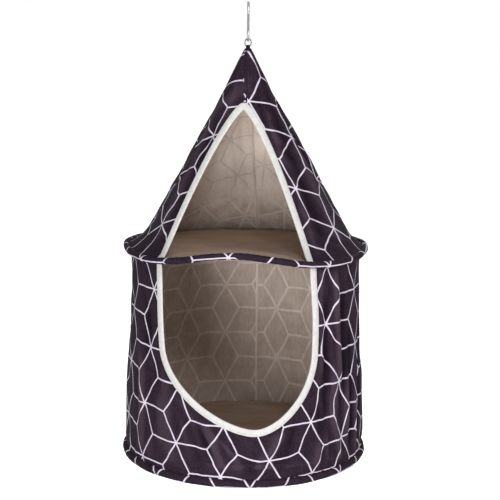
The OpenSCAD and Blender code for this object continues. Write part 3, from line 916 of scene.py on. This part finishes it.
def arch_edge(inset=0.0):
    """Path round the arched doorway in angle and height, moved inset mm into the cloth."""
    s = np.linspace(0, 1, 90)
    h = (ARCH_H + inset * 1.6) * (1 - (1 - s) ** (1 / ARCH_POWER))
    half = (ARCH_W / 2 + inset) * (1 - s)
    mid = arch_mid(np.minimum(h, ARCH_H))
    x = np.concatenate([mid - half, (mid + half)[::-1][1:]])
    h = np.concatenate([h, h[::-1][1:]])
    return np.arcsin(x / cone_r(h)), h


def level_out(a):
    """The way out of an upright wall at each angle."""
    return around(1.0, a, 0.0)


def cone_out(a):
    tilt = math.atan(CONE_SLOPE)
    return around(math.cos(tilt), a, math.sin(tilt))


def eased(path, rounds=3):
    """Softens a path's corners, with its two ends kept."""
    path = path.copy()
    for _ in range(rounds):
        path[1:-1] = (path[:-2] + 2 * path[1:-1] + path[2:]) / 4
    return path


BAND_HALF, BAND_THIN, BAND_STEP = 6.3, 2.3, 2.2
STITCH_RISE, STITCH_INSET, THREAD_STEP = 1.15, 2.4, 1.5


def nearest(path, points):
    """Index of the point that is nearest to each place on a path."""
    return np.argmin(((path[:, None] - points[None]) ** 2).sum(-1), 1)


def band(name, edge, point, outward):
    """Folded tape along a doorway's edge, a little uneven where it was sewn."""
    a, v = edge()
    raw = point(a, v, CLOTH_T / 2)
    path = even_path(eased(raw), BAND_STEP)
    way = np.arange(len(path)) * BAND_STEP
    puff = 1 + 0.05 * np.sin(way * 1.15) + 0.03 * np.sin(way * 0.31 + 1)
    out = outward(a)[nearest(path, raw)]
    return swept(name, path, out, BAND_HALF, BAND_THIN * puff, 16, square=2.8)


def band_stitches(name, edge, point, outward):
    """A row of stitches on each face of a doorway's tape."""
    a, v = edge(STITCH_INSET)
    rows = []
    for inward, way in ((-STITCH_RISE, 1), (CLOTH_T + STITCH_RISE, -1)):
        path = even_path(point(a, v, inward), THREAD_STEP)
        rows.append((path, outward(a)[nearest(path, point(a, v, 0.0))] * way))
    return stitches(name, rows)


def make_bindings():
    cone, drum = (arch_edge, cone_point, cone_out), (door_edge, drum_point, level_out)
    tape = band("cone_binding_tape", *cone)
    dress(tape, TAPE, "canopy", "cone_binding")
    hang(band("drum_binding_tape", *drum), TAPE, "drum_binding")
    dress(band_stitches("cone_binding_stitches", *cone), THREAD, "canopy")
    hang(band_stitches("drum_binding_stitches", *drum), THREAD)


# Sleeves round the hoops.


# Shift and width of a column of the print, and its turn round the wire, on each sleeve.
UPPER_SHIFT, UPPER_COLUMN, UPPER_TURN = 28, 87.5, 0.35
LOWER_SHIFT, LOWER_COLUMN, LOWER_TURN = -11, 85, 0.72


def strip(u, v, column):
    """Place on the print's grid of a flat strip of cloth, from mm along it and across it."""
    u, v = np.broadcast_arrays(u / column * GRID_W, v / ROW)
    return np.stack([u, v], -1)


def upper_strip(a, t):
    """Print on the upper sleeve, whose rows of stars run along its lower front edge."""
    side = turned(a)
    hidden = smooth((side + 0.09) / 0.08) * smooth((0.40 - side) / 0.08)
    drift = 13 * hidden + 9 * np.sin(3 * side) * smooth((np.abs(side) - 1.0) / 0.5)
    u, v = UPPER_R * side + UPPER_SHIFT, UPPER_TUBE * turned(t + UPPER_TURN) + drift
    return strip(u, v, UPPER_COLUMN)


def lower_strip(a, t):
    """Print on the lower sleeve, whose rows of stars run along its underside."""
    side = turned(a)
    drift = 3 * np.sin(5 * side - 0.6) * smooth((np.abs(side) - 0.3) / 0.4)
    u, v = LOWER_R * side + LOWER_SHIFT, LOWER_TUBE * turned(t + LOWER_TURN) + drift
    return strip(u, v, LOWER_COLUMN)


def sleeve(name, r, tube, rise, z, slit, printed, deep=0.35, cols=480, sides=22):
    """A strip of cloth folded round a hoop, with its slit where the wall is sewn in."""
    a = np.linspace(-np.pi, np.pi, cols + 1)[:, None]
    t = np.radians(slit) + np.linspace(0.10, 2 * np.pi - 0.10, sides)[None, :]
    waves = np.sin(83 * a + 1.7 * np.sin(4 * a)) + 0.8 * np.sin(131 * a + 2 * np.sin(7 * a))
    facing = 0.55 + 0.45 * np.cos(t - np.radians(slit))
    pucker = deep * waves * facing + 0.25 * np.sin(19 * a + t)
    radius = tube + pucker - deep
    ring = r + radius * np.cos(t)
    height = z + rise(a) + radius * np.sin(t)
    points = around(ring, a + 0 * t, height)
    uv = printed(a + 0 * t, t + 0 * a)
    return weld(cloth_grid(name, points, uv, uv, cols, flip=True))


def make_sleeves():
    def level(a):
        return 0 * a

    upper = sleeve("upper_sleeve_cloth", UPPER_R, UPPER_TUBE, lift, UPPER_Z, 180, upper_strip)
    lower = sleeve("lower_sleeve_cloth", LOWER_R, LOWER_TUBE, level, LOWER_Z, 120, lower_strip, 0.55)
    dress(upper, PRINTED, "canopy", "upper_hoop_sleeve")
    dress(lower, PRINTED, "base", "lower_hoop_sleeve")


# Shelf, floor and their cushions.

CORD_R, PAD_PRESSURE, PAD_FRAMES = 2.2, 4.0, 20
FLOOR_HOLLOW, FLOOR_HOLLOW_R = 2.5, 46


def shelf_height(a, r):
    dip = 12 * (1 - (r / SHELF_R) ** 2)
    return lift(a) * (r / SHELF_R) ** 2 - 2 - dip


def shelf_edge(a):
    """Radius of the shelf, out to the sleeve between the two doorways."""
    zero = np.array(0.0)
    left, right = door_angle(zero, -1), door_angle(zero, 1)
    middle, reach = (left + right) / 2, (right - left) / 2
    share = np.clip((reach - np.abs(turned(a - middle))) / math.radians(8), 0, 1)
    return mix(SHELF_R, 204, share)


def disc_faces(rings, cols):
    """Faces of a disc whose first two points are the middles of its upper and lower face."""

    def both(upper, lower):
        return np.stack([np.stack(upper, 1), np.stack(lower, 1)], 1).reshape(-1, len(upper)).tolist()

    i = np.arange(cols)
    n, up, low, last = (i + 1) % cols, 2, 2 + rings * cols, (rings - 1) * cols
    inner = np.arange(rings - 1)[:, None] * cols
    p, m = (inner + i).ravel(), (inner + n).ravel()
    q, o = p + cols, m + cols
    faces = both((0 * i, up + i, up + n), (0 * i + 1, low + n, low + i))
    faces += both((up + p, up + q, up + o, up + m), (low + m, low + o, low + q, low + p))
    return faces + np.stack([up + last + i, low + last + i, low + last + n, up + last + n], 1).tolist()


def disc(name, edge, top, under, rings=40, cols=160):
    """Closed round panel between an upper and a lower face."""
    a = np.linspace(0, 2 * np.pi, cols, endpoint=False)[None, :]
    share = np.sin(np.linspace(0, np.pi / 2, rings + 1))[1:, None]
    r = edge(a) * share
    middle = np.zeros(1)
    centre = [[0, 0, float(height(middle, middle)[0])] for height in (top, under)]
    sides = [around(r, a + 0 * r, height(a, r)).reshape(-1, 3) for height in (top, under)]
    points = np.concatenate([centre, *sides])
    faces = disc_faces(rings, cols)
    obj = add_mesh(name, points, faces)
    layer = obj.data.uv_layers.new(name="print")
    index = np.empty(len(obj.data.loops), int)
    obj.data.loops.foreach_get("vertex_index", index)
    flat = points[index][:, :2] / np.array([COLUMN / GRID_W, ROW]) + np.array([0.37, 0.21])
    layer.data.foreach_set("uv", flat.ravel())
    return obj


def quilting(r, a, pitch=44.0):
    """Depth of crossed quilting lines at a place on a round panel."""
    x, y = r * np.sin(a), -r * np.cos(a)
    one, two = (np.abs((x + way * y + 800) % pitch - pitch / 2) for way in (1, -1))
    return 0.9 * np.exp(-((np.minimum(one, two) / 3.0) ** 2))


def quilted(name, edge, top, thick, deep):
    """A round panel of quilted cloth, so thick under its upper face."""

    def under(a, r):
        return top(a, r) - thick + quilting(r, a) * deep

    return disc(name, edge, top, under, 70, 220)


def make_shelf():
    def top(a, r):
        return UPPER_Z + shelf_height(a, r) - 0.3

    panel = quilted("shelf_cloth", shelf_edge, top, 2.3, 1.0)
    dress(panel, LINING, "canopy", "shelf_panel")


def make_floor():
    def top(a, r):
        return LOWER_Z - 3 * (1 - r / FLOOR_R) - 0.2 + 0 * a

    panel = quilted("floor_cloth", lambda a: FLOOR_R + 0 * a, top, 2.8, 0.8)
    dress(panel, PRINTED, "base", "floor_panel")


def read_points(obj):
    co = np.empty(len(obj.data.vertices) * 3)
    obj.data.vertices.foreach_get("co", co)
    return co.reshape(-1, 3) / MM


def write_points(obj, points):
    obj.data.vertices.foreach_set("co", (points * MM).ravel())
    obj.data.update()


def shaped(obj):
    return obj.evaluated_get(bpy.context.evaluated_depsgraph_get())


def apply_all(obj):
    bpy.context.view_layer.update()
    mesh = bpy.data.meshes.new_from_object(shaped(obj))
    old = obj.data
    obj.modifiers.clear()
    obj.data = mesh
    bpy.data.meshes.remove(old)


def blown_up(obj, cap):
    """Blows a pad up with cloth under pressure, and keeps every point within cap mm of its place."""
    rest = read_points(obj)
    cloth = obj.modifiers.new("cloth", "CLOTH")
    cloth.settings.use_pressure = True
    cloth.settings.uniform_pressure_force = PAD_PRESSURE
    cloth.settings.effector_weights.gravity = 0
    cloth.settings.quality = 4
    cloth.point_cache.frame_start, cloth.point_cache.frame_end = 1, PAD_FRAMES
    for number in range(1, PAD_FRAMES + 1):
        bpy.context.scene.frame_set(number)
    step = read_points(shaped(obj)) - rest
    obj.modifiers.remove(cloth)
    bpy.context.scene.frame_set(1)
    far = np.linalg.norm(step, axis=1, keepdims=True)
    write_points(obj, rest + step * np.minimum(1, cap / np.maximum(far, 1e-6)))


def cushion(name, r, top, under, cap, voxel):
    """A pad with round edges, blown up by at most cap mm and then made smooth."""
    obj = disc(name, lambda a: r + 0 * a, top, under, 30, 140)
    remesh = obj.modifiers.new("remesh", "REMESH")
    remesh.mode, remesh.voxel_size, remesh.use_smooth_shade = "VOXEL", voxel, True
    apply_all(obj)
    blown_up(obj, cap)
    obj.modifiers.new("round", "SUBSURF").levels = 1
    apply_all(obj)
    obj.data.polygons.foreach_set("use_smooth", [True] * len(obj.data.polygons))
    return obj


def polar(points):
    return np.arctan2(points[:, 0], -points[:, 1]), np.hypot(points[:, 0], points[:, 1])


def piping(name, r, height, body):
    """Corded seam round a cushion."""
    a = np.linspace(0, 2 * np.pi, 260, endpoint=False)
    path = around(r + 0.4 * np.sin(9 * a), a, height(a))
    cord = swept(name, path, level_out(a), CORD_R, CORD_R, 12, True, 2.0)
    dress(cord, PAD, body)


def round_swell(r, radius, power):
    return np.maximum(0, 1 - np.minimum(1, r / radius) ** power) ** (1 / power)


def make_shelf_pad():
    def under(a, r):
        return UPPER_Z + shelf_height(a, r) + 1.6

    def top(a, r):
        return under(a, r) + 3 + (SHELF_PAD_T - 6) * round_swell(r, SHELF_PAD_R, 2.6)

    def seam(a):
        return UPPER_Z + shelf_height(a, SHELF_PAD_R) + 5.5

    pad = cushion("shelf_pad", SHELF_PAD_R - 4, top, under, 3, 0.0055)
    points = read_points(pad)
    a, r = polar(points)
    floor = UPPER_Z + shelf_height(a, np.minimum(r, SHELF_R)) + 0.9
    points[:, 2] = np.clip(points[:, 2], floor, floor + SHELF_PAD_T + 2)
    write_points(pad, points)
    dress(pad, PAD, "canopy", "shelf_cushion")
    piping("shelf_pad_piping", SHELF_PAD_R - 1.5, seam, "canopy")


def make_floor_pad():
    half = FLOOR_PAD_T / 2 - 4
    base = LOWER_Z + 0.6

    def top(a, r):
        return base + half + 3 + (half - 1) * round_swell(r, FLOOR_PAD_R, 3.0) + 0 * a

    def under(a, r):
        return base + half - 3 - (half - 3.4) * round_swell(r, FLOOR_PAD_R, 3.0) + 0 * a

    pad = cushion("floor_pad_cushion", FLOOR_PAD_R - 5, top, under, 6, 0.006)
    points = read_points(pad)
    points[:, 2] -= FLOOR_HOLLOW * np.exp(-((polar(points)[1] / FLOOR_HOLLOW_R) ** 2))
    points[:, 2] = np.clip(points[:, 2], LOWER_Z + 0.4, LOWER_Z + FLOOR_PAD_T + 4)
    write_points(pad, points)
    dress(pad, PAD, "floor_pad", "floor_cushion")
    piping("floor_pad_piping", FLOOR_PAD_R - 3, lambda a: base + half + 0 * a, "floor_pad")


# The tip's loop and the seams.

LOOP_HOLE, LOOP_LEG, LOOP_FOOT, LOOP_TOP, LOOP_THIN = 2.9, 22.0, 4.2, 2.5, 0.65
SEAM_HALF, SEAM_STEP, FRONT_SEAM = 4.0, 2.0, -0.03


def make_loop():
    """Folded strip of the outer cloth round the ring, sewn into the cone's tip."""
    turn = np.radians(np.linspace(-62, 242, 40))
    circle = LOOP_HOLE * np.stack([np.cos(turn), 0 * turn, np.sin(turn)], -1)
    legs = np.linspace(0, 1, 14)[1:, None]
    right = mix(circle[0], np.array([1.1, 0, -LOOP_LEG]), legs)
    left = mix(circle[-1], np.array([-1.1, 0, -LOOP_LEG]), legs)
    path = eased(even_path(np.concatenate([right[::-1], circle, left]), 0.8), 6)
    out = np.tile([0.0, 1.0, 0.0], (len(path), 1))
    normal = np.cross(along(path), out)
    wide = np.interp(path[:, 2], (-8, -1), (LOOP_FOOT, LOOP_TOP))
    strip = swept("apex_loop_cloth", path, normal, wide, LOOP_THIN, 12, square=3.5)
    turned_by = Matrix.Rotation(math.radians(90 + RING_TURN), 4, "Z")
    strip.data.transform(Matrix.Translation((0, 0, PIVOT_Z * MM)) @ turned_by)
    dress(plain_uv(strip), PRINTED, "canopy", "apex_loop")


def outwards(a, path):
    """The way out of the wall at one angle, for each point of a path."""
    return np.tile(level_out(a), (len(path), 1))


def seam_rows(point, radius, a, values):
    """Two rows of stitches, one on each side of a seam."""
    rows = []
    for side in (-SEAM_HALF, SEAM_HALF):
        path = even_path(point(a + side / np.maximum(radius(values), 20), values, -0.1), THREAD_STEP)
        rows.append((path, outwards(a, path)))
    return rows


def make_seam(name, wall, a, values, place):
    """A raised seam, the stitches beside it and the tape on its inside."""
    line, point = np.full_like(values, a), wall[0]
    path = even_path(point(line, values, 0.3), SEAM_STEP)
    inside = even_path(point(line, values, CLOTH_T + 0.4), SEAM_STEP)
    ridge = plain_uv(swept(name, path, outwards(a, path), 1.6, 0.75, 8, square=2.0))
    place(ridge, PRINTED)
    place(stitches(name + "_stitches", seam_rows(*wall, a, values)), DARK_THREAD)
    place(swept(name + "_tape", inside, outwards(a, inside), 2.2, 0.5, 8), SEAM_TAPE)


def make_seams():
    """The seams down the rear, and the one from the tip to the arch."""

    def on_canopy(obj, look):
        dress(obj, look, "canopy")

    drum, cone = (drum_point, wall_r), (cone_point, cone_r)
    make_seam("drum_rear_seam", drum, REAR_SEAM, np.linspace(4, WALL_DEPTH - 2, 160), hang)
    make_seam("cone_rear_seam", cone, REAR_SEAM, np.linspace(CONE_H - 20, 6, 160), on_canopy)
    make_seam("cone_front_seam", cone, FRONT_SEAM, np.linspace(CONE_H - 16, ARCH_H + 6, 60), on_canopy)


# Camera, light and floor.

CAMERA_AT = (0.0, -2.6505, 0.1129)
CAMERA_YAW, CAMERA_PITCH, CAMERA_ROLL = -0.162, 11.578, 0.670
LENS_MM, SENSOR_MM = 110.49, 36
MIDDLE, FLOOR_DROP, FLOOR_HALF = (0, 0, -0.45), -1300.0, 12000.0
FLOOR_GLOW, WORLD_LIGHT = 0.74, 0.5
# Each lamp's name, place, target, size and power.
LAMPS = [
    ("front", (0.5, -2.5, 1.4), MIDDLE, 0.7, 26),
    ("key", (-0.9, -2.85, -0.2), MIDDLE, 1.0, 34),
    ("low", (-0.55, -2.3, -1.15), (0, 0, -0.3), 0.5, 18),
    ("side", (2.1, -1.6, 0.6), MIDDLE, 0.6, 24),
    ("rear", (0.4, 2.5, 0.9), MIDDLE, 1.2, 29),
]


def add_camera():
    """The camera looks along +Y, turned by its yaw, tipped down by its pitch and rolled."""
    yaw, pitch, roll = (math.radians(x) for x in (CAMERA_YAW, CAMERA_PITCH, CAMERA_ROLL))
    turn = Matrix.Rotation(yaw, 4, "Z") @ Matrix.Rotation(math.pi / 2 - pitch, 4, "X")
    data = bpy.data.cameras.new("camera")
    data.lens, data.sensor_width = LENS_MM, SENSOR_MM
    camera = bpy.data.objects.new("camera", data)
    camera.matrix_world = Matrix.Translation(CAMERA_AT) @ turn @ Matrix.Rotation(roll, 4, "Z")
    bpy.context.scene.collection.objects.link(camera)
    bpy.context.scene.camera = camera


def add_area(name, at, target, size, power):
    data = bpy.data.lights.new(name, "AREA")
    data.shape, data.size, data.energy = "DISK", size, power
    lamp = bpy.data.objects.new(name, data)
    way = Vector(target) - Vector(at)
    lamp.matrix_world = Matrix.Translation(at) @ way.to_track_quat("-Z", "Y").to_matrix().to_4x4()
    bpy.context.scene.collection.objects.link(lamp)


def seen_directly(n):
    """1 on rays from the camera, reflections of them and what shows through glass."""
    path = n.add("ShaderNodeLightPath").outputs
    both = n.math("MAXIMUM", path["Is Camera Ray"], path["Is Glossy Ray"])
    return n.math("MAXIMUM", both, path["Is Transmission Ray"])


def add_floor():
    n = Nodes("pale_floor")
    n.set(Base_Color=(0.86, 0.86, 0.86, 1), Roughness=0.9, Specular_IOR_Level=0.1)
    glow = n.add("ShaderNodeEmission", {"Strength": n.math("MULTIPLY", seen_directly(n), FLOOR_GLOW)})
    total = n.add("ShaderNodeAddShader")
    n.tree.links.new(n.shader.outputs[0], total.inputs[0])
    n.tree.links.new(glow.outputs[0], total.inputs[1])
    n.tree.links.new(total.outputs[0], n.tree.nodes["Material Output"].inputs["Surface"])
    ways = ((-1, -1), (1, -1), (1, 1), (-1, 1))
    corners = [[x * FLOOR_HALF, y * FLOOR_HALF, FLOOR_DROP] for x, y in ways]
    floor = add_mesh("floor", corners, [[0, 1, 2, 3]], False)
    floor.data.materials.append(n.made)


def light_world():
    """A soft white world that the camera and the metals see at its full strength."""
    n = Nodes("studio", bpy.data.worlds, "Background")
    n.set(Color=(1, 1, 1, 1))
    n.link(n.ramp(seen_directly(n), 0.0, 1.0, WORLD_LIGHT, 1.0), "Strength")
    bpy.context.scene.world = n.made


def light_scene():
    light_world()
    for lamp in LAMPS:
        add_area(*lamp)
    add_floor()
    bpy.context.scene.view_settings.view_transform = "Standard"


# Build.


add_camera()
light_scene()
finish_metal()
make_cone()
make_drum()
make_bindings()
make_sleeves()
make_shelf()
make_floor()
make_shelf_pad()
make_floor_pad()
make_loop()
make_seams()


def plain(box):
    return [[float(x) for x in corner] for corner in box]
